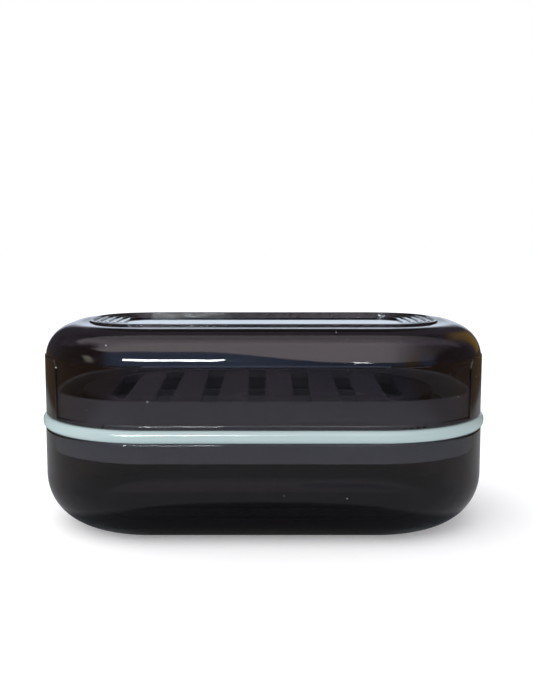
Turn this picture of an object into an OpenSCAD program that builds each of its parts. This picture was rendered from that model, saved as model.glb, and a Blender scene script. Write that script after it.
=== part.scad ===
// Case for a shampoo bar: smoked base, pale frame, slotted drain rack and lift-off lid.
// The origin is under the middle of the base, X runs along the case and Y away from its front.

/* [Base] */
// Outer length of the base
case_l = 110; // [100:1:130]
// Outer width of the base
case_w = 66.4; // [62:0.2:80]
// Straight length in the middle of each end, between the base's round corners
end_flat = 10; // [4:0.5:16]
// Height of the base up to its rim
base_h = 24.6; // [22:0.1:34]
// Radius of the round between the base's wall and its underside
base_round = 12.6; // [6:0.2:14]
// Thickness of the base's wall
base_wall = 1.8; // [1.2:0.1:2.6]
// Thickness of the base's floor
floor_t = 1.8; // [1.2:0.1:3]
// Height of the foot ring under the base
foot_h = 0.6; // [0.3:0.1:1.2]
// Width of the foot ring
foot_w = 3.4; // [2:0.2:6]

/* [Frame] */
// Height of the frame's outer band
band_h = 3; // [2:0.1:5]
// How far the band stands out past the base
band_proud = 0.6; // [0.2:0.1:1.5]
// Radius of the band's rounded edges
band_round = 1.2; // [0.4:0.1:1.5]
// Height of the upstand that centres the lid
upstand_h = 6.3; // [3:0.1:8]
// Depth of the skirt that centres the frame in the base
skirt_h = 5.1; // [3:0.1:9]
// Thickness of the upstand and the skirt
frame_wall = 1.4; // [1:0.1:2]
// Thickness of the ledge that carries the rack
ledge_t = 1.6; // [1:0.1:2.4]
// How far the ledge reaches in under the rack's riser
ledge_grip = 1.2; // [0.8:0.1:2.5]

/* [Rack] */
// Distance from the flange's end to the raised deck's end
deck_end_step = 3.7; // [2:0.1:8]
// Distance from the flange's long side to the raised deck's long side
deck_side_step = 0.3; // [0.2:0.1:3]
// Straight length in the middle of each end of the deck, between its round corners
deck_end_flat = 1; // [0.4:0.2:10]
// Height of the deck's top above the ledge
deck_h = 5.4; // [4:0.1:8]
// Thickness of the deck
deck_t = 2; // [1.2:0.1:2.6]
// Thickness of the riser under the deck's edge
riser_t = 1.3; // [1:0.1:2.4]
// Thickness of the flange that lies on the ledge
flange_t = 1.5; // [1:0.1:2]
// Radius of the deck's rounded edge
deck_round = 0.6; // [0.2:0.1:0.7]
// Number of slots
slot_count = 7; // [3:2:9]
// Distance from slot to slot at the front ends
slot_pitch_front = 11; // [8:0.1:11.5]
// Distance from slot to slot at the back ends
slot_pitch_back = 11.7; // [8:0.1:12]
// Width of each slot at its front end
slot_w_front = 3.9; // [2:0.1:5]
// Width of each slot at its back end
slot_w_back = 5; // [2:0.1:6]
// Distance from the slots' ends to the deck's long sides
slot_margin = 1.6; // [1.4:0.1:5]
// Distance from the round field that bounds the slots to the deck's ends
slot_end_margin = 5; // [2:0.1:9]

/* [Lid] */
// Height of the lid from its rim to its shoulder
lid_h = 22.4; // [17:0.1:30]
// Radius of the round between the lid's wall and its top
lid_round = 8.3; // [4:0.1:10]
// Thickness of the lid's wall and top
lid_wall = 1.8; // [1.2:0.1:2.4]
// How far the lid's wall stands back from the base's outline
lid_setback = 0.4; // [0.2:0.1:1]
// Height of the bead along the lid's rim
bead_h = 1.2; // [0.8:0.1:2]
// How far the bead stands out from the lid's wall
bead_proud = 0.25; // [0.1:0.05:0.8]
// Distance from the lid's long sides to the outermost ridge
ridge_inset = 14.2; // [10:0.1:15]
// Distance from the lid's ends to the outermost ridge
ridge_end_inset = 10.7; // [9:0.1:13]
// Number of concentric ridges round the panel
ridge_count = 5; // [3:1:6]
// Distance from ridge to ridge
ridge_pitch = 1.9; // [1.4:0.1:2.2]
// Width of each ridge
ridge_w = 1; // [0.6:0.1:1.2]
// Radius of the rounds along each ridge
ridge_round = 0.3; // [0.1:0.05:0.4]
// Height of the outermost ridge above the shoulder
ridge_rise = 0.45; // [0.3:0.05:1]
// Drop from each ridge to the next one inward
ridge_step = 0.15; // [0.1:0.05:0.3]
// Depth of the grooves between the ridges
groove_depth = 0.4; // [0.3:0.05:0.8]
// Depth of the middle panel below the shoulder
panel_depth = 0.6; // [0.5:0.05:1.2]

/* [Grip pads] */
// Width of each pad, measured straight across the end
pad_w = 44; // [30:0.5:52]
// Height of each pad above the lid's rim
pad_h = 15; // [8:0.2:16]
// How far each pad stands out from the lid's wall
pad_proud = 0.25; // [0.2:0.05:0.8]
// Radius of each pad's upper corners
pad_corner_r = 2.8; // [1:0.1:6]

/* [Fits] */
// Gap between the upstand and the lid
lid_gap = 0.3; // [0.2:0.05:0.6]
// Gap between the skirt and the base
base_gap = 0.3; // [0.15:0.05:0.6]
// Gap along each long side of the rack's flange
rack_gap_side = 0.8; // [0.4:0.1:2]
// Gap at each end of the rack's flange when the rack is centred
rack_gap_end = 1.9; // [0.8:0.1:2.4]
// Gap left at the flange's left end, towards which the loose rack lies
rack_gap_left = 0.2; // [0.1:0.1:0.4]
// Gap left where one piece rests on another
seat_gap = 0.05; // [0.02:0.01:0.1]

/* [Hidden] */
$fn = 96;

// Radius of the small rounds along the rims of the thin walls
rim_round = 0.45;
// Extra length of a cut past the face that it opens
cut = 1;

// Radius of the base's corners seen from above
corner_r = (case_w - end_flat) / 2;

// Distance from the case's middle to the centre of its corner arcs
arc_x = case_l / 2 - corner_r;
arc_y = case_w / 2 - corner_r;

// Heights of the faces that one piece hands to the next
band_z = base_h + seat_gap;
ledge_z = band_z + band_h;
rack_z = ledge_z + seat_gap;
deck_z = ledge_z + deck_h;
lid_z = ledge_z + seat_gap;
shoulder_z = lid_z + lid_h;
panel_z = shoulder_z - panel_depth;

// Radii of the walls, measured from the centre of the corner arcs
base_in_r = corner_r - base_wall;
lid_r = corner_r - lid_setback;
lid_in_r = lid_r - lid_wall;
upstand_r = lid_in_r - lid_gap;
upstand_in_r = upstand_r - frame_wall;
skirt_r = base_in_r - base_gap;
flange_r = upstand_in_r - rack_gap_side;

// The ridges share the lid's corner centres while the innermost one still has a round corner
ridges_w = (ridge_count - 1) * ridge_pitch + ridge_w;
ridge_r = max(lid_r - ridge_inset, ridges_w + ridge_round);

// Distances from the case's middle to the centres of the flange's and the ridges' corner arcs
flange_x = arc_x + rack_gap_side - rack_gap_end;
ridge_x = arc_x + lid_r - ridge_end_inset - ridge_r;
ridge_y = arc_y + lid_r - ridge_inset - ridge_r;

// Length, width and corner radius of the raised deck, and how far the loose rack lies to the left
deck_l = 2 * (flange_x + flange_r - deck_end_step);
deck_w = 2 * (arc_y + flange_r - deck_side_step);
deck_r = (deck_w - deck_end_flat) / 2;
rack_shift = rack_gap_end - rack_gap_left;

// Distance from the deck's outline to the edge of the opening in the ledge
ledge_in = riser_t + ledge_grip;

// Rectangle seen from above, with round corners
module rounded_plate(l, w, r) {
    square([l - 2 * r, w], center = true);
    square([l, w - 2 * r], center = true);
    for (x = [-1, 1], y = [-1, 1])
        translate([x * (l / 2 - r), y * (w / 2 - r)]) circle(r);
}

// Section of a bar with round edges, its lower inner corner at the origin
module rounded_bar(w, h, r) {
    translate([r, 0]) square([w - 2 * r, h]);
    translate([0, r]) square([w, h - 2 * r]);
    for (x = [r, w - r], y = [r, h - r]) translate([x, y]) circle(r);
}

// Half section of a tray that stands on the axis, round where its wall meets its floor
module tray_section(r, h, round_r) {
    square([r - round_r, h]);
    translate([0, round_r]) square([r, h - round_r]);
    translate([r - round_r, round_r]) intersection() {
        circle(round_r);
        translate([0, -round_r]) square(round_r);
    }
}

// Carries a half section round a rounded rectangle whose corner arcs are centred at x, y
module carry_round(x, y) {
    for (turn = [0:3]) {
        across = turn % 2 == 0;
        cx = across ? x : y;
        cy = across ? y : x;
        rotate([0, 0, 90 * turn]) translate([cx, cy, 0]) rotate_extrude(angle = 90) children();
        rotate([0, 0, 90 * turn]) translate([cx, 0, 0])
            rotate([90, 0, 0]) linear_extrude(2 * cy, center = true) children();
    }
}

// Flat middle that closes a carried section between z0 and z1
module carry_middle(x, y, z0, z1) {
    translate([-x, -y, z0]) cube([2 * x, 2 * y, z1 - z0]);
}

// Smoked tray with a foot ring and a round rim
module base_box() {
    foot_r = corner_r - base_round - foot_w;
    floor_z = foot_h + floor_t;
    color([0.2, 0.19, 0.22, 0.7]) {
        carry_round(arc_x, arc_y) {
            difference() {
                tray_section(corner_r, base_h - base_wall / 2, base_round);
                translate([0, floor_z])
                    tray_section(base_in_r, base_h, base_round - base_wall);
                square([foot_r, foot_h]);
            }
            translate([base_in_r, base_h - base_wall])
                rounded_bar(base_wall, base_wall, rim_round);
        }
        carry_middle(arc_x, arc_y, foot_h, floor_z);
    }
}

// Pale frame: outer band, upstand for the lid, skirt in the base and ledge for the rack
module middle_frame() {
    band_r = corner_r + band_proud;
    skirt_in_r = skirt_r - frame_wall;
    color([0.72, 0.79, 0.79]) {
        carry_round(arc_x, arc_y) {
            translate([upstand_in_r, band_z])
                rounded_bar(band_r - upstand_in_r, band_h, band_round);
            translate([upstand_in_r, ledge_z - ledge_t])
                rounded_bar(frame_wall, upstand_h + ledge_t, rim_round);
            translate([skirt_in_r, band_z - skirt_h])
                rounded_bar(frame_wall, skirt_h + ledge_t, rim_round);
        }
        translate([0, 0, ledge_z - ledge_t]) linear_extrude(ledge_t) difference() {
            rounded_plate(2 * (arc_x + skirt_r), 2 * (arc_y + skirt_r), skirt_r);
            translate([-rack_shift, 0])
                rounded_plate(deck_l - 2 * ledge_in, deck_w - 2 * ledge_in, deck_r - ledge_in);
        }
    }
}

// One slot seen from above, wider and further out at its back end
module slot_outline(place) {
    front_y = -deck_w / 2;
    back_y = deck_w / 2;
    front_x = place * slot_pitch_front;
    back_x = place * slot_pitch_back;
    polygon([
        [front_x - slot_w_front / 2, front_y], [front_x + slot_w_front / 2, front_y],
        [back_x + slot_w_back / 2, back_y], [back_x - slot_w_back / 2, back_y]
    ]);
}

// Smoked rack: slotted deck on a riser, with a flange that lies on the frame's ledge
module drain_rack() {
    deck_x = deck_l / 2 - deck_r;
    deck_y = deck_w / 2 - deck_r;
    riser_h = deck_z - rack_z;
    last = (slot_count - 1) / 2;
    color([0.24, 0.23, 0.27, 0.85]) translate([-rack_shift, 0, 0]) {
        difference() {
            union() {
                carry_round(deck_x, deck_y) {
                    translate([deck_r - riser_t, rack_z])
                        rounded_bar(riser_t, riser_h, deck_round);
                    translate([0, deck_z - deck_t]) square([deck_r - riser_t / 2, deck_t]);
                }
                carry_middle(deck_x, deck_y, deck_z - deck_t, deck_z);
            }
            translate([0, 0, deck_z - deck_t - cut]) linear_extrude(deck_t + 2 * cut)
                intersection() {
                    rounded_plate(deck_l - 2 * slot_end_margin, deck_w - 2 * slot_margin,
                        deck_r - slot_margin);
                    for (place = [-last:last]) slot_outline(place);
                }
        }
        translate([0, 0, rack_z]) linear_extrude(flange_t) difference() {
            rounded_plate(2 * (flange_x + flange_r), 2 * (arc_y + flange_r), flange_r);
            rounded_plate(deck_l - riser_t, deck_w - riser_t, deck_r - riser_t / 2);
        }
    }
}

// Half section of the panel and the concentric ridges that fall inward to it
module ridge_section() {
    translate([0, panel_z - lid_wall]) square([ridge_r, lid_wall]);
    translate([ridge_r - ridge_w, panel_z - lid_wall])
        square([ridge_w, shoulder_z - panel_z + lid_wall]);
    for (i = [0:ridge_count - 1])
        translate([ridge_r - i * ridge_pitch - ridge_w, panel_z - lid_wall / 2]) {
            top = shoulder_z + ridge_rise - i * ridge_step - panel_z + lid_wall / 2;
            rounded_bar(ridge_w, top, ridge_round);
            if (i < ridge_count - 1)
                translate([ridge_w - ridge_pitch, 0])
                    square([ridge_pitch, top - groove_depth]);
        }
}

// Half section of the lid: flat shoulder, wall and the bead along the rim
module lid_section() {
    inner_round = lid_round - lid_wall;
    bead_r = lid_r + bead_proud;
    translate([0, shoulder_z]) mirror([0, 1]) difference() {
        tray_section(lid_r, lid_h - lid_wall / 2, lid_round);
        translate([0, lid_wall]) tray_section(lid_in_r, lid_h, inner_round);
    }
    translate([lid_in_r, lid_z]) rounded_bar(bead_r - lid_in_r, bead_h, rim_round);
}

// Grip pads: the end walls thickened outward, with round upper corners
module grip_pads() {
    pad_r = lid_r + pad_proud;
    intersection() {
        carry_round(arc_x, arc_y) translate([lid_in_r, lid_z])
            rounded_bar(pad_r - lid_in_r, pad_h, rim_round);
        rotate([90, 0, 90]) linear_extrude(case_l + 2 * cut, center = true)
            translate([0, lid_z + pad_h / 2 - pad_corner_r / 2])
            rounded_plate(pad_w, pad_h + pad_corner_r, pad_corner_r);
    }
}

// Smoked lid with a ridged top and grip pads
module lid() {
    opening_r = ridge_r - ridge_w / 2;
    color([0.22, 0.2, 0.22, 0.6]) {
        difference() {
            union() {
                carry_round(arc_x, arc_y) lid_section();
                carry_middle(arc_x, arc_y, shoulder_z - lid_wall, shoulder_z);
            }
            translate([0, 0, shoulder_z - lid_wall - cut]) linear_extrude(lid_wall + 2 * cut)
                rounded_plate(2 * (ridge_x + opening_r), 2 * (ridge_y + opening_r), opening_r);
        }
        carry_round(ridge_x, ridge_y) ridge_section();
        carry_middle(ridge_x, ridge_y, panel_z - lid_wall, panel_z);
        grip_pads();
    }
}

base_box();
middle_frame();
drain_rack();
lid();
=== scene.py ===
import math

import bpy
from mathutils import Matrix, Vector

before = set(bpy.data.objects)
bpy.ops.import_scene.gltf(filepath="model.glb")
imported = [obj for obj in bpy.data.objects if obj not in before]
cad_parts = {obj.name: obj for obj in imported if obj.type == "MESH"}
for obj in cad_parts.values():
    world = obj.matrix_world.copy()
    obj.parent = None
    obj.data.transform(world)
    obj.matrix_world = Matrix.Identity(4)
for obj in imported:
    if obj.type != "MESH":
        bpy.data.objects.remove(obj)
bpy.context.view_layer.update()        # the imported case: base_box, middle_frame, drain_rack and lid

print("stage: packed model loaded")

# Small helpers for shader nodes. A column and a row say where a node stands in its editor.

gridStep = (220, -200)
halfStep = 0.5  # parts a ray's count of 0 from a count of 1 or more
rising, falling = (0.0, 1.0), (1.0, 0.0)  # what a ramp gives at its two limits


def gridPlace(column, row):
    return column * gridStep[0], row * gridStep[1]


def addNode(tree, kind, column, row, **settings):
    node = tree.nodes.new(kind)
    node.location = gridPlace(column, row)
    for name, value in settings.items():
        setattr(node, name, value)
    return node


def feed(tree, socket, value):
    # A value is another node's output or a plain number, vector or colour
    if isinstance(value, bpy.types.NodeSocket):
        tree.links.new(value, socket)
    else:
        socket.default_value = value


def compute(tree, kind, column, row, *values):
    node = addNode(tree, "ShaderNodeMath", column, row, operation=kind)
    for socket, value in zip(node.inputs, values):
        feed(tree, socket, value)
    return node.outputs["Value"]


def computeVector(tree, kind, column, row, *values):
    node = addNode(tree, "ShaderNodeVectorMath", column, row, operation=kind)
    for socket, value in zip(node.inputs, values):
        feed(tree, socket, value)
    return node.outputs["Value" if kind == "LENGTH" else "Vector"]


def ramp(tree, source, column, row, limits, values, kind="SMOOTHSTEP"):
    # A number that goes from one value to another between two limits
    step = addNode(tree, "ShaderNodeMapRange", column, row, clamp=True, interpolation_type=kind)
    feed(tree, step.inputs["Value"], source)
    for name, value in zip(("From Min", "From Max", "To Min", "To Max"), (*limits, *values)):
        feed(tree, step.inputs[name], value)
    return step.outputs["Result"]


def blendTones(tree, share, first, second, column, row, kind="MIX"):
    node = addNode(tree, "ShaderNodeMix", column, row, data_type="RGBA", blend_type=kind)
    for name, value in (("Factor", share), ("A", first), ("B", second)):
        feed(tree, node.inputs[name], value)
    return node.outputs["Result"]


def toneBands(tree, source, bands, column, row):
    # Each band is a position from 0 to 1 and the tone that it has there
    node = addNode(tree, "ShaderNodeValToRGB", column, row)
    stops = node.color_ramp.elements
    while len(stops) < len(bands):
        stops.new(1.0)
    for stop, (position, tone) in zip(stops, bands):
        stop.position = position
        stop.color = tone
    feed(tree, node.inputs["Fac"], source)
    return node.outputs["Color"]


def piecePlace(tree, column, row):
    # The x, y and z of a point on the piece
    coords = addNode(tree, "ShaderNodeTexCoord", column, row)
    parts = addNode(tree, "ShaderNodeSeparateXYZ", column + 1, row)
    tree.links.new(coords.outputs["Object"], parts.inputs["Vector"])
    return parts.outputs


def newGroup(name, inputs, outputs):
    group = bpy.data.node_groups.new(name, "ShaderNodeTree")
    for socketName, kind, value in inputs:
        socket = group.interface.new_socket(name=socketName, in_out="INPUT", socket_type=kind)
        socket.default_value = value
    for socketName, kind in outputs:
        group.interface.new_socket(name=socketName, in_out="OUTPUT", socket_type=kind)
    entry = addNode(group, "NodeGroupInput", 0, 0)
    leave = addNode(group, "NodeGroupOutput", 8, 0)
    return group, entry, leave


def placeGroup(tree, group, column, row, values):
    node = addNode(tree, "ShaderNodeGroup", column, row, node_tree=group)
    for name, value in values.items():
        node.inputs[name].default_value = value
    return node


# Effects that several finishes share

hazeShape = {
    "stretch": (1.0, 1.0, 2.2),
    "detail": 5.0,
    "roughness": 0.6,
    "spread": (0.35, 0.72),
}

rippleShape = {
    "Wave": {"detail": 1.0, "depth": 0.001},
    "Scuff": {"detail": 3.0, "depth": 0.0001},
}

driftShape = {
    "detail": 2.0,
}


def makeHazeGroup(shape):
    # Wipe marks and finger haze: roughness that drifts between a low and a high value
    group, entry, leave = newGroup(
        "wipeHaze",
        [
            ("Scale", "NodeSocketFloat", 40.0),
            ("Low", "NodeSocketFloat", 0.03),
            ("High", "NodeSocketFloat", 0.1),
        ],
        [("Roughness", "NodeSocketFloat")],
    )
    coords = addNode(group, "ShaderNodeTexCoord", 1, 1)
    stretch = addNode(group, "ShaderNodeMapping", 2, 1)
    stretch.inputs["Scale"].default_value = shape["stretch"]
    noise = addNode(group, "ShaderNodeTexNoise", 3, 1)
    noise.inputs["Detail"].default_value = shape["detail"]
    noise.inputs["Roughness"].default_value = shape["roughness"]
    group.links.new(coords.outputs["Object"], stretch.inputs["Vector"])
    group.links.new(stretch.outputs["Vector"], noise.inputs["Vector"])
    group.links.new(entry.outputs["Scale"], noise.inputs["Scale"])
    limits = (entry.outputs["Low"], entry.outputs["High"])
    haze = ramp(group, noise.outputs["Fac"], 4, 1, shape["spread"], limits, "LINEAR")
    group.links.new(haze, leave.inputs["Roughness"])
    return group


def makeRippleGroup(shape):
    # Slow flow waves and fine scuffs of a polished moulding, as one normal
    group, entry, leave = newGroup(
        "mouldRipple",
        [
            ("Wave Scale", "NodeSocketFloat", 25.0),
            ("Wave Height", "NodeSocketFloat", 0.1),
            ("Scuff Scale", "NodeSocketFloat", 900.0),
            ("Scuff Height", "NodeSocketFloat", 0.02),
        ],
        [("Normal", "NodeSocketVector")],
    )
    coords = addNode(group, "ShaderNodeTexCoord", 1, 1)
    normal = None
    for index, (name, layer) in enumerate(shape.items()):
        noise = addNode(group, "ShaderNodeTexNoise", 3, 2 * index)
        noise.inputs["Detail"].default_value = layer["detail"]
        bump = addNode(group, "ShaderNodeBump", 5 + index, 2 * index)
        bump.inputs["Distance"].default_value = layer["depth"]
        group.links.new(coords.outputs["Object"], noise.inputs["Vector"])
        group.links.new(entry.outputs[name + " Scale"], noise.inputs["Scale"])
        group.links.new(entry.outputs[name + " Height"], bump.inputs["Strength"])
        group.links.new(noise.outputs["Fac"], bump.inputs["Height"])
        if normal is not None:
            group.links.new(normal, bump.inputs["Normal"])
        normal = bump.outputs["Normal"]
    group.links.new(normal, leave.inputs["Normal"])
    return group


def makeDustGroup():
    # Scattered specks: a mask that is 1 on a few grains of dust
    group, entry, leave = newGroup(
        "dustSpecks",
        [
            ("Scale", "NodeSocketFloat", 160.0),
            ("Size", "NodeSocketFloat", 0.06),
            ("Share", "NodeSocketFloat", 0.1),
        ],
        [("Mask", "NodeSocketFloat")],
    )
    coords = addNode(group, "ShaderNodeTexCoord", 1, 1)
    cells = addNode(group, "ShaderNodeTexVoronoi", 3, 1)
    split = addNode(group, "ShaderNodeSeparateColor", 4, 2)
    group.links.new(coords.outputs["Object"], cells.inputs["Vector"])
    group.links.new(entry.outputs["Scale"], cells.inputs["Scale"])
    group.links.new(cells.outputs["Color"], split.inputs["Color"])
    size, share = entry.outputs["Size"], entry.outputs["Share"]
    near = compute(group, "LESS_THAN", 5, 0, cells.outputs["Distance"], size)
    chosen = compute(group, "LESS_THAN", 5, 2, split.outputs["Red"], share)
    mask = compute(group, "MULTIPLY", 6, 1, near, chosen)
    group.links.new(mask, leave.inputs["Mask"])
    return group


def makeDriftGroup(shape):
    # Slight drift of a colour between two tones, as in dyed resin
    group, entry, leave = newGroup(
        "dyeDrift",
        [
            ("First", "NodeSocketColor", (0.2, 0.2, 0.2, 1.0)),
            ("Second", "NodeSocketColor", (0.2, 0.2, 0.2, 1.0)),
            ("Scale", "NodeSocketFloat", 18.0),
        ],
        [("Color", "NodeSocketColor")],
    )
    coords = addNode(group, "ShaderNodeTexCoord", 1, 1)
    noise = addNode(group, "ShaderNodeTexNoise", 3, 1)
    noise.inputs["Detail"].default_value = shape["detail"]
    group.links.new(coords.outputs["Object"], noise.inputs["Vector"])
    group.links.new(entry.outputs["Scale"], noise.inputs["Scale"])
    first, second = entry.outputs["First"], entry.outputs["Second"]
    surfaceTone = blendTones(group, noise.outputs["Fac"], first, second, 5, 1)
    group.links.new(surfaceTone, leave.inputs["Color"])
    return group


def makeReachGroup():
    # Level distance from the rectangle that the centres of the case's corner arcs span
    group, entry, leave = newGroup(
        "cornerReach",
        [("Corner", "NodeSocketVector", (0.0, 0.0, 0.0))],
        [("Reach", "NodeSocketFloat")],
    )
    coords = addNode(group, "ShaderNodeTexCoord", 1, 1)
    folded = computeVector(group, "ABSOLUTE", 2, 1, coords.outputs["Object"])
    past = computeVector(group, "SUBTRACT", 3, 1, folded, entry.outputs["Corner"])
    outside = computeVector(group, "MAXIMUM", 4, 1, past, (0.0, 0.0, 0.0))
    level = computeVector(group, "MULTIPLY", 5, 1, outside, (1.0, 1.0, 0.0))
    group.links.new(computeVector(group, "LENGTH", 6, 1, level), leave.inputs["Reach"])
    return group


hazeGroup = makeHazeGroup(hazeShape)
rippleGroup = makeRippleGroup(rippleShape)
dustGroup = makeDustGroup()
driftGroup = makeDriftGroup(driftShape)
reachGroup = makeReachGroup()
print("stage: shared effects made")

# Finishes


def shadeEnds(tree, surfaceTone, look):
    # Painted shade: darker towards the two ends of the piece
    place = piecePlace(tree, -3, 0)
    centred = compute(tree, "ADD", -1, 0, place["X"], look["endShadeShift"])
    reach = compute(tree, "ABSOLUTE", 0, -1, centred)
    fade = ramp(tree, reach, 1, -1, look["endShadeFrom"], (1.0, look["endShade"]))
    return blendTones(tree, 1.0, surfaceTone, fade, 2, -1, "MULTIPLY")


def shadeUnder(tree, surfaceTone, look):
    # Darker below the deck, where the riser's wall stands in the rack's own shade
    place = piecePlace(tree, -3, -3)
    fade = ramp(tree, place["Z"], 1, -3, look["underShadeHeights"], (look["underShade"], 1.0))
    return blendTones(tree, 1.0, surfaceTone, fade, 3, -2, "MULTIPLY")


def shadeInner(tree, surfaceTone, look):
    # Painted shade: darker on the faces that look into the closed case below the ledge
    place = piecePlace(tree, -3, -4)
    arcs = placeGroup(tree, reachGroup, -1, -3, {"Corner": look["innerCorner"]})
    inside = compute(tree, "LESS_THAN", 1, -3, arcs.outputs["Reach"], look["innerReach"])
    below = compute(tree, "LESS_THAN", 1, -4, place["Z"], look["innerHeight"])
    mask = compute(tree, "MULTIPLY", 2, -3, inside, below)
    return blendTones(tree, mask, surfaceTone, look["innerShade"], 3, -3, "MULTIPLY")


def dressRidges(tree, gloss, normal, look):
    # A little less gloss on the ridges, and tops that lean in to the panel along the far side
    place = piecePlace(tree, -3, 6)
    arcs = placeGroup(tree, reachGroup, -1, 5, {"Corner": look["ridgeCorner"]})
    reach = arcs.outputs["Reach"]
    inner, outer = look["ridgeReach"]
    within = compute(tree, "LESS_THAN", 1, 5, reach, outer)
    above = compute(tree, "GREATER_THAN", 1, 6, place["Z"], look["ridgeFoot"])
    mask = compute(tree, "MULTIPLY", 2, 5, within, above)
    satin = compute(tree, "MULTIPLY_ADD", 3, 5, mask, look["ridgeSatin"], gloss)
    climb = ramp(tree, reach, 1, 7, (inner, outer), rising, "LINEAR")
    side = ramp(tree, place["Y"], 1, 8, look["ridgeLeanFrom"], rising)
    lean = addNode(tree, "ShaderNodeBump", 3, 7)
    lean.inputs["Strength"].default_value = 1.0
    lean.inputs["Distance"].default_value = look["ridgeLean"] * (outer - inner)
    tree.links.new(compute(tree, "MULTIPLY", 2, 7, climb, side), lean.inputs["Height"])
    tree.links.new(normal, lean.inputs["Normal"])
    return satin, lean.outputs["Normal"]


def addDust(tree, shader, look):
    # Grains of dust lie over the plastic as a matt surface of their own
    grain = addNode(tree, "ShaderNodeBsdfPrincipled", 4, 3)
    grain.inputs["Base Color"].default_value = look["dustTone"]
    grain.inputs["Roughness"].default_value = look["dustRoughness"]
    values = {"Scale": look["dustScale"], "Size": look["dustSize"], "Share": look["dustShare"]}
    specks = placeGroup(tree, dustGroup, 0, 3, values)
    cover = addNode(tree, "ShaderNodeMixShader", 6, 0)
    tree.links.new(specks.outputs["Mask"], cover.inputs["Fac"])
    tree.links.new(shader.outputs["BSDF"], cover.inputs[1])
    tree.links.new(grain.outputs["BSDF"], cover.inputs[2])
    tree.links.new(cover.outputs["Shader"], tree.nodes["Material Output"].inputs["Surface"])


def plasticMaterial(look):
    material = bpy.data.materials.new(look["name"])
    material.use_nodes = True
    tree = material.node_tree
    shader = tree.nodes["Principled BSDF"]
    shader.location = gridPlace(4, 0)
    tree.nodes["Material Output"].location = gridPlace(7, 0)
    shader.inputs["IOR"].default_value = look["ior"]
    shader.inputs["Transmission Weight"].default_value = look["clear"]
    shader.inputs["Metallic"].default_value = 0.0
    tones = {"First": look["tone"], "Second": look["toneDrift"], "Scale": look["driftScale"]}
    marks = {"Scale": look["hazeScale"], "Low": look["glossLow"], "High": look["glossHigh"]}
    waves = {
        "Wave Scale": look["waveScale"],
        "Wave Height": look["waveHeight"],
        "Scuff Scale": look["scuffScale"],
        "Scuff Height": look["scuffHeight"],
    }
    surfaceTone = placeGroup(tree, driftGroup, 0, 0, tones).outputs["Color"]
    gloss = placeGroup(tree, hazeGroup, 0, 1, marks).outputs["Roughness"]
    normal = placeGroup(tree, rippleGroup, 0, 2, waves).outputs["Normal"]
    # Painted shade in the base colour: darker rack ends, rack below its deck, and frame faces inside
    # the case
    if "endShade" in look:
        surfaceTone = shadeEnds(tree, surfaceTone, look)
    if "underShade" in look:
        surfaceTone = shadeUnder(tree, surfaceTone, look)
    if "innerShade" in look:
        surfaceTone = shadeInner(tree, surfaceTone, look)
    if "ridgeSatin" in look:
        gloss, normal = dressRidges(tree, gloss, normal, look)
    tree.links.new(surfaceTone, shader.inputs["Base Color"])
    tree.links.new(gloss, shader.inputs["Roughness"])
    tree.links.new(normal, shader.inputs["Normal"])
    if "dustShare" in look:
        addDust(tree, shader, look)
    return material


lidLook = {
    "name": "smokedLid",
    "ior": 1.5,
    "clear": 1.0,
    "tone": (0.39, 0.335, 0.365, 1.0),
    "toneDrift": (0.37, 0.32, 0.35, 1.0),
    "driftScale": 18.0,
    "hazeScale": 60.0,
    "glossLow": 0.01,
    "glossHigh": 0.05,
    "ridgeCorner": (0.0303, 0.005, 0.0),  # where the corner arcs have their centres
    "ridgeReach": (0.00515, 0.01375),  # from the innermost ridge to the outermost
    "ridgeFoot": 0.0496,  # only what stands higher counts as a ridge
    "ridgeSatin": 0.05,
    "ridgeLean": 0.2,
    "ridgeLeanFrom": (-0.018, 0.018),  # none in front, all of it at the back
    "waveScale": 30.0,
    "waveHeight": 0.02,
    "scuffScale": 1500.0,
    "scuffHeight": 0.01,
    "dustScale": 420.0,
    "dustSize": 0.085,
    "dustShare": 0.09,
    "dustTone": (0.25, 0.26, 0.28, 1.0),
    "dustRoughness": 0.9,
}

baseLook = {
    "name": "smokedBase",
    "ior": 1.5,
    "clear": 1.0,
    "tone": (0.43, 0.385, 0.42, 1.0),
    "toneDrift": (0.41, 0.37, 0.405, 1.0),
    "driftScale": 16.0,
    "hazeScale": 50.0,
    "glossLow": 0.01,
    "glossHigh": 0.035,
    "waveScale": 30.0,
    "waveHeight": 0.02,
    "scuffScale": 1500.0,
    "scuffHeight": 0.01,
    "dustScale": 420.0,
    "dustSize": 0.07,
    "dustShare": 0.03,
    "dustTone": (0.2, 0.2, 0.22, 1.0),
    "dustRoughness": 0.9,
}

rackLook = {
    "name": "smokedRack",
    "ior": 1.5,
    "clear": 0.35,
    "tone": (0.41, 0.49, 0.5, 1.0),
    "toneDrift": (0.38, 0.455, 0.465, 1.0),
    # Painted shade towards the rack's two ends
    "endShadeFrom": (0.031, 0.038),
    "endShade": 0.25,
    "endShadeShift": 0.0017,  # the rack lies this far to the left
    "underShade": 0.6,
    "underShadeHeights": (0.0306, 0.0316),
    "driftScale": 30.0,
    "hazeScale": 90.0,
    "glossLow": 0.08,
    "glossHigh": 0.18,
    "waveScale": 60.0,
    "waveHeight": 0.05,
    "scuffScale": 1200.0,
    "scuffHeight": 0.03,
}

frameLook = {
    "name": "paleFrame",
    "ior": 1.48,
    "clear": 0.0,
    "tone": (0.4, 0.5, 0.505, 1.0),
    "toneDrift": (0.385, 0.48, 0.485, 1.0),
    "innerCorner": (0.0268, 0.005, 0.0),  # where the corner arcs have their centres
    "innerReach": 0.0245,
    "innerHeight": 0.0275,
    "innerShade": (0.5, 0.5, 0.5, 1.0),
    "driftScale": 22.0,
    "hazeScale": 80.0,
    "glossLow": 0.12,
    "glossHigh": 0.22,
    "waveScale": 45.0,
    "waveHeight": 0.04,
    "scuffScale": 1200.0,
    "scuffHeight": 0.03,
}

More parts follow.
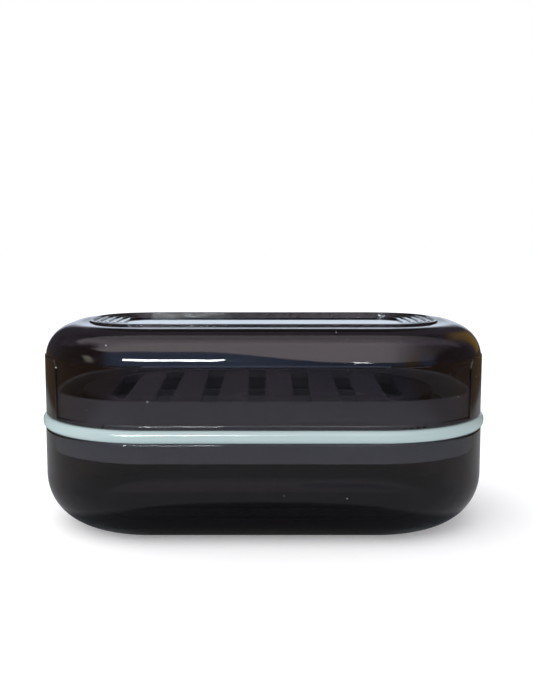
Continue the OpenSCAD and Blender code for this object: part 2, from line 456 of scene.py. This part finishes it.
finishes = {
    "base_box": plasticMaterial(baseLook),
    "middle_frame": plasticMaterial(frameLook),
    "drain_rack": plasticMaterial(rackLook),
    "lid": plasticMaterial(lidLook),
}
for nodeName, material in finishes.items():
    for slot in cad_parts[nodeName].material_slots:
        slot.material = material
print("stage: finishes given to the pieces")

# Pale floor out to the horizon. A ring is a distance from the middle and the tone that gloss sees
# there, a painted reflection that is darkest near the case as painted shadow.

stageLook = {
    "halfWidth": 4.0,
    "roughness": 0.9,
    "seen": (0.86, 0.86, 0.86, 1.0),
    "unlit": (0.0, 0.0, 0.0, 1.0),
    "glow": (0.22, 0.22, 0.22, 1.0),
    # What rays through the walls see: painted shade, darkest under the case
    "seenUnder": (0.012, 0.012, 0.013, 1.0),
    "seenThrough": (0.05, 0.04, 0.035, 1.0),
    "seenThroughFrom": (0.05, 0.075),
    # Painted reflection of warm room sides, seen by gloss only
    "sides": (0.09, 0.06, 0.025, 1.0),
    "sidesFrom": (0.165, 0.2),
    "ringReach": 0.4,
    "rings": (
        (0.036, (0.035, 0.035, 0.035, 1.0)),
        (0.043, (0.05, 0.055, 0.06, 1.0)),
        (0.052, (0.1, 0.105, 0.12, 1.0)),
        (0.0545, (0.32, 0.32, 0.34, 1.0)),
        (0.2, (0.32, 0.34, 0.34, 1.0)),
        (0.25, (0.13, 0.14, 0.17, 1.0)),
        (0.33, (0.035, 0.045, 0.065, 1.0)),
    ),
}


def stageMaterial(look):
    # Pale to the eye, with a faint glow of its own that lightens the shadow on it. Smoked walls
    # mirror it as darker rings and let a dim tone through; both are emitted, a painted reflection and
    # painted shade, darkest near the case.
    material = bpy.data.materials.new("paleStage")
    material.use_nodes = True
    tree = material.node_tree
    shader = tree.nodes["Principled BSDF"]
    shader.inputs["Roughness"].default_value = look["roughness"]
    shader.inputs["Specular IOR Level"].default_value = 0.0
    shader.inputs["Emission Strength"].default_value = 1.0
    coords = addNode(tree, "ShaderNodeTexCoord", -10, 1)
    parts = addNode(tree, "ShaderNodeSeparateXYZ", -9, 2)
    tree.links.new(coords.outputs["Object"], parts.inputs["Vector"])
    reach = computeVector(tree, "LENGTH", -9, 1, coords.outputs["Object"])

    share = compute(tree, "DIVIDE", -8, 1, reach, look["ringReach"])
    bands = [(radius / look["ringReach"], tone) for radius, tone in look["rings"]]
    rings = toneBands(tree, share, bands, -7, 1)
    across = compute(tree, "ABSOLUTE", -8, 2, parts.outputs["X"])
    outer = ramp(tree, across, -7, 2, look["sidesFrom"], rising)
    mirrored = blendTones(tree, outer, rings, look["sides"], -4, 1)
    under = ramp(tree, reach, -7, 3, look["seenThroughFrom"], rising)
    through = blendTones(tree, under, look["seenUnder"], look["seenThrough"], -4, 2)

    # Only rays that no matt surface has scattered see the tones above
    path = addNode(tree, "ShaderNodeLightPath", -6, 0)
    sharp = compute(tree, "LESS_THAN", -5, -1, path.outputs["Diffuse Depth"], halfStep)
    glossy = compute(tree, "MULTIPLY", -4, -1, path.outputs["Is Glossy Ray"], sharp)
    passed = compute(tree, "MULTIPLY", -4, -2, path.outputs["Is Transmission Ray"], sharp)
    glow = blendTones(tree, glossy, look["glow"], mirrored, -3, 0)
    glow = blendTones(tree, passed, glow, through, -2, 0)
    paint = blendTones(tree, glossy, look["seen"], look["unlit"], -2, -1)
    tree.links.new(glow, shader.inputs["Emission Color"])
    tree.links.new(paint, shader.inputs["Base Color"])
    return material


def makeStage(look):
    bpy.ops.object.select_all(action="DESELECT")
    bpy.ops.mesh.primitive_plane_add(size=look["halfWidth"] * 2, location=(0.0, 0.0, 0.0))
    stage = bpy.context.object
    stage.name = "paleFloor"
    stage.data.materials.append(stageMaterial(look))


makeStage(stageLook)
print("stage: floor made")

# Soft studio light: a wide box overhead for matt surfaces, and two cards that only gloss sees

topLook = {
    "name": "topBox",
    "place": (-0.55, -0.4, 1.0),
    "aim": (0.0, 0.0, 0.0),
    "size": (2.0, 1.6),
    "radiance": 0.6,
    "tone": (1.0, 0.99, 0.98),
    "layers": (0.0,),
    "lightsMatt": True,
}

windowLook = {
    "name": "windowCard",
    "place": (-0.6, -2.0, 0.72),
    "aim": (0.0, 0.0, 0.03),
    "size": (0.95, 0.17),
    "radiance": 190.0,
    "tone": (0.95, 0.99, 1.0),
    "layers": (-0.11, -0.06, 0.0, 0.05),  # what each layer adds to the size
    "lightsMatt": False,
}

lampLook = {
    "name": "lampCard",
    "place": (0.235, -2.0, 0.4),
    "aim": (0.0, 0.0, 0.03),
    "size": (0.03, 0.1),
    "radiance": 35.0,
    "tone": (1.0, 1.0, 1.0),
    "layers": (-0.01, 0.01),
    "lightsMatt": False,
}


def outerOnly(light):
    # Seen in outer faces only: dark to rays that have gone through a wall
    light.use_nodes = True
    tree = light.node_tree
    path = addNode(tree, "ShaderNodeLightPath", -4, 0)
    outer = compute(tree, "LESS_THAN", -2, 0, path.outputs["Transmission Depth"], halfStep)
    tree.links.new(outer, tree.nodes["Emission"].inputs["Strength"])


def softBox(look):
    # Nested layers of growing size share the radiance, so that the mirrored edges are soft
    for grow in look["layers"]:
        width, height = (side + grow for side in look["size"])
        light = bpy.data.lights.new(look["name"], "AREA")
        light.shape = "RECTANGLE"
        light.size, light.size_y = width, height
        light.energy = look["radiance"] / len(look["layers"]) * math.pi * width * height
        light.color = look["tone"]
        if not look["lightsMatt"]:
            outerOnly(light)
        box = bpy.data.objects.new(look["name"], light)
        bpy.context.scene.collection.objects.link(box)
        box.location = look["place"]
        towards = Vector(look["aim"]) - box.location
        box.rotation_euler = towards.to_track_quat("-Z", "Y").to_euler()
        box.visible_camera = False
        box.visible_transmission = False
        box.visible_diffuse = look["lightsMatt"]
        box.visible_glossy = not look["lightsMatt"]


for cardLook in (topLook, windowLook, lampLook):
    softBox(cardLook)

# Limits here are parts of a unit direction: x to the right, y to the back, z up
worldLook = {
    "seen": (1.0, 1.0, 1.0, 1.0),
    "softLeft": (1.3, 1.31, 1.33, 1.0),  # even fill on matt surfaces
    "softRight": (0.62, 0.62, 0.64, 1.0),
    "softStep": (-0.6, 0.9),
    "depthStep": (0.4, 0.6),  # parts a ray's depth of 0 from a depth of 1
    "roomBack": (0.045, 0.042, 0.05, 1.0),
    "endLeft": (0.06, 0.055, 0.055, 1.0),
    "endLeftFrom": (-0.85, -0.6),
    "endRight": (0.22, 0.145, 0.045, 1.0),
    "endRightSpan": (0.42, 0.55, 0.66, 0.76),
    "endRightHeights": (-0.3, -0.1, 0.5, 0.7),
    "roomFront": (0.24, 0.4, 0.65, 1.0),
    "roomFrontRight": (0.1, 0.2, 0.36, 1.0),
    "roomFrontStep": (-0.02, 0.09),
    "roomFrontFrom": (-0.55, -0.36),
    "glint": (1.25, 1.3, 1.05, 1.0),
    "glintSpan": (-0.955, -0.925, -0.895, -0.855),
    "glintHeights": (0.02, 0.14, 0.26, 0.38),
    "glintBack": (-0.28, -0.12),
    "skyLeft": -1.215,  # the ceiling starts where x plus the lean times z is this
    "skyLeftLean": -0.74,
    "skyLeftDrop": (0.13, 0.0),  # how much lower it reaches at the far left
    "skyLeftDropFrom": (-0.8, -0.2),
    "skyRight": (0.1, 0.8),
    "skyRightDim": 0.2,
    "skyRightEnd": (0.8, 0.92),
    "skyBack": (0.27, 0.42),
    "skyLow": (0.72, 0.19),  # its lowest height, left and right of the step
    "skyStep": (-0.075, 0.095),
    "skyInside": 0.5,  # the part of it that rays inside a wall see
    "skyEdge": 0.03,  # half the width of its soft edges
    "skyFrom": (-0.4, -0.02),
    "skyHigh": (0.88, 0.8, 0.84, 1.0),
    "sky": (1.85, 1.7, 1.78, 1.0),
    "horizonSide": (0.88, 0.95),
    "horizon": (
        (0.19, (1.0, 1.13, 1.3, 1.0)),
        (0.24, (0.6, 0.64, 0.75, 1.0)),
        (0.38, (0.05, 0.04, 0.04, 1.0)),
    ),
    "horizonInside": (
        (0.175, (0.17, 0.18, 0.2, 1.0)),
        (0.21, (0.06, 0.06, 0.07, 1.0)),
        (0.38, (0.04, 0.04, 0.04, 1.0)),
    ),
    "hill": (0.03, 0.05, 0.09, 1.0),
    "hillSpan": (0.02, 0.06, 0.32, 0.4),
    "hillHeights": (0.1, 0.115, 0.157, 0.175),
}


def field(tree, across, up, column, row, span, heights):
    # A soft-edged rectangle of directions
    sides = []
    for index, (source, limits) in enumerate(((across, span), (up, heights))):
        rise = ramp(tree, source, column, row + index, limits[:2], rising)
        fall = ramp(tree, source, column + 1, row + index, limits[2:], falling)
        sides.append(compute(tree, "MULTIPLY", column + 2, row + index, rise, fall))
    return compute(tree, "MULTIPLY", column + 3, row, *sides)


def skyShare(tree, look, across, back, up, depth):
    # The pale ceiling's share: above a height that steps down to the right, and between limits
    edge = look["skyEdge"]
    lowest = ramp(tree, across, -16, 0, look["skyStep"], look["skyLow"])
    drop = ramp(tree, across, -17, 1, look["skyLeftDropFrom"], look["skyLeftDrop"])
    lowest = compute(tree, "SUBTRACT", -16, 1, lowest, drop)
    above = compute(tree, "SUBTRACT", -15, 0, up, lowest)
    leaning = compute(tree, "MULTIPLY_ADD", -16, 2, up, look["skyLeftLean"], across)
    leftLimits = (look["skyLeft"] - edge, look["skyLeft"] + edge)
    share = ramp(tree, above, -14, 0, (-edge, edge), rising)
    limits = (
        ramp(tree, leaning, -14, 1, leftLimits, rising),
        ramp(tree, across, -14, 2, look["skyRight"], (1.0, look["skyRightDim"])),
        ramp(tree, across, -13, 2, look["skyRightEnd"], falling),
        ramp(tree, back, -14, 3, look["skyBack"], falling),
        ramp(tree, depth, -16, 6, look["depthStep"], (1.0, look["skyInside"])),
    )
    for index, limit in enumerate(limits):
        share = compute(tree, "MULTIPLY", -13 + index, 0, share, limit)
    return share


def horizonTone(tree, look, across, up, depth):
    # The band low behind the case: bright in outer faces, dim to rays inside a wall
    inside = ramp(tree, depth, -16, 5, look["depthStep"], rising)
    hill = field(tree, across, up, -14, 6, look["hillSpan"], look["hillHeights"])
    bright = toneBands(tree, up, look["horizon"], -13, 4)
    dim = toneBands(tree, up, look["horizonInside"], -13, 5)
    dim = blendTones(tree, hill, dim, look["hill"], -10, 5)
    return blendTones(tree, inside, bright, dim, -9, 5)


def roomTone(tree, look, parts):
    # What gloss mirrors: a dim room, a pale ceiling and a bright band low behind the object
    across, back, up = parts.outputs["X"], parts.outputs["Y"], parts.outputs["Z"]
    path = addNode(tree, "ShaderNodeLightPath", -18, 5)
    depth = path.outputs["Transmission Depth"]
    sky = skyShare(tree, look, across, back, up, depth)
    high = ramp(tree, back, -14, 4, look["skyFrom"], rising)
    skyTone = blendTones(tree, high, look["sky"], look["skyHigh"], -10, 1)
    horizon = horizonTone(tree, look, across, up, depth)
    straight = ramp(tree, back, -14, 8, look["horizonSide"], rising)
    front = ramp(tree, back, -14, 9, look["roomFrontFrom"], falling)
    leftEnd = ramp(tree, across, -14, 10, look["endLeftFrom"], falling)
    rightEnd = field(tree, across, up, -14, 11, look["endRightSpan"], look["endRightHeights"])
    step = ramp(tree, across, -14, 13, look["roomFrontStep"], rising)
    frontTone = blendTones(tree, step, look["roomFront"], look["roomFrontRight"], -11, 3)
    room = blendTones(tree, front, look["roomBack"], frontTone, -10, 3)
    room = blendTones(tree, leftEnd, room, look["endLeft"], -9, 3)
    room = blendTones(tree, rightEnd, room, look["endRight"], -8, 3)
    room = blendTones(tree, straight, room, horizon, -7, 3)
    glint = field(tree, across, up, -14, 15, look["glintSpan"], look["glintHeights"])
    before = ramp(tree, back, -14, 17, look["glintBack"], falling)
    glint = compute(tree, "MULTIPLY", -10, 15, glint, before)
    room = blendTones(tree, glint, room, look["glint"], -7, 4)
    return blendTones(tree, sky, room, skyTone, -6, 3)


def makeWorld(look):
    # White behind the object, even fill on matt surfaces, and the room in the reflections
    world = bpy.data.worlds.new("studio")
    bpy.context.scene.world = world
    world.use_nodes = True
    tree = world.node_tree
    path = addNode(tree, "ShaderNodeLightPath", -8, 0)
    matt = ramp(tree, path.outputs["Diffuse Depth"], -4, 1, look["depthStep"], rising)
    coords = addNode(tree, "ShaderNodeTexCoord", -19, 2)
    parts = addNode(tree, "ShaderNodeSeparateXYZ", -18, 2)
    tree.links.new(coords.outputs["Generated"], parts.inputs["Vector"])
    side = ramp(tree, parts.outputs["X"], -5, 2, look["softStep"], rising)
    soft = blendTones(tree, side, look["softLeft"], look["softRight"], -4, 2)
    tone = blendTones(tree, matt, roomTone(tree, look, parts), soft, -3, 0)
    tone = blendTones(tree, path.outputs["Is Camera Ray"], tone, look["seen"], -2, 0)
    tree.links.new(tone, tree.nodes["Background"].inputs["Color"])


makeWorld(worldLook)
print("stage: lights made")

# Camera at the photograph's viewing angle

cameraLook = {
    "place": (0.00075, -0.2324, 0.0698),
    "pitchDown": 6.476,
    "focalPixels": 900.0,
    "framePixels": (533, 690),
    "sensor": 36.0,
    "nearest": 0.01,
}


def makeCamera(look):
    data = bpy.data.cameras.new("frontCamera")
    data.sensor_width = look["sensor"]
    data.lens = look["focalPixels"] * look["sensor"] / max(look["framePixels"])
    data.clip_start = look["nearest"]
    camera = bpy.data.objects.new("frontCamera", data)
    bpy.context.scene.collection.objects.link(camera)
    camera.location = look["place"]
    camera.rotation_euler = (math.radians(90.0 - look["pitchDown"]), 0.0, 0.0)
    bpy.context.scene.camera = camera


makeCamera(cameraLook)
bpy.context.scene.view_settings.view_transform = "Standard"
print("stage: camera made")
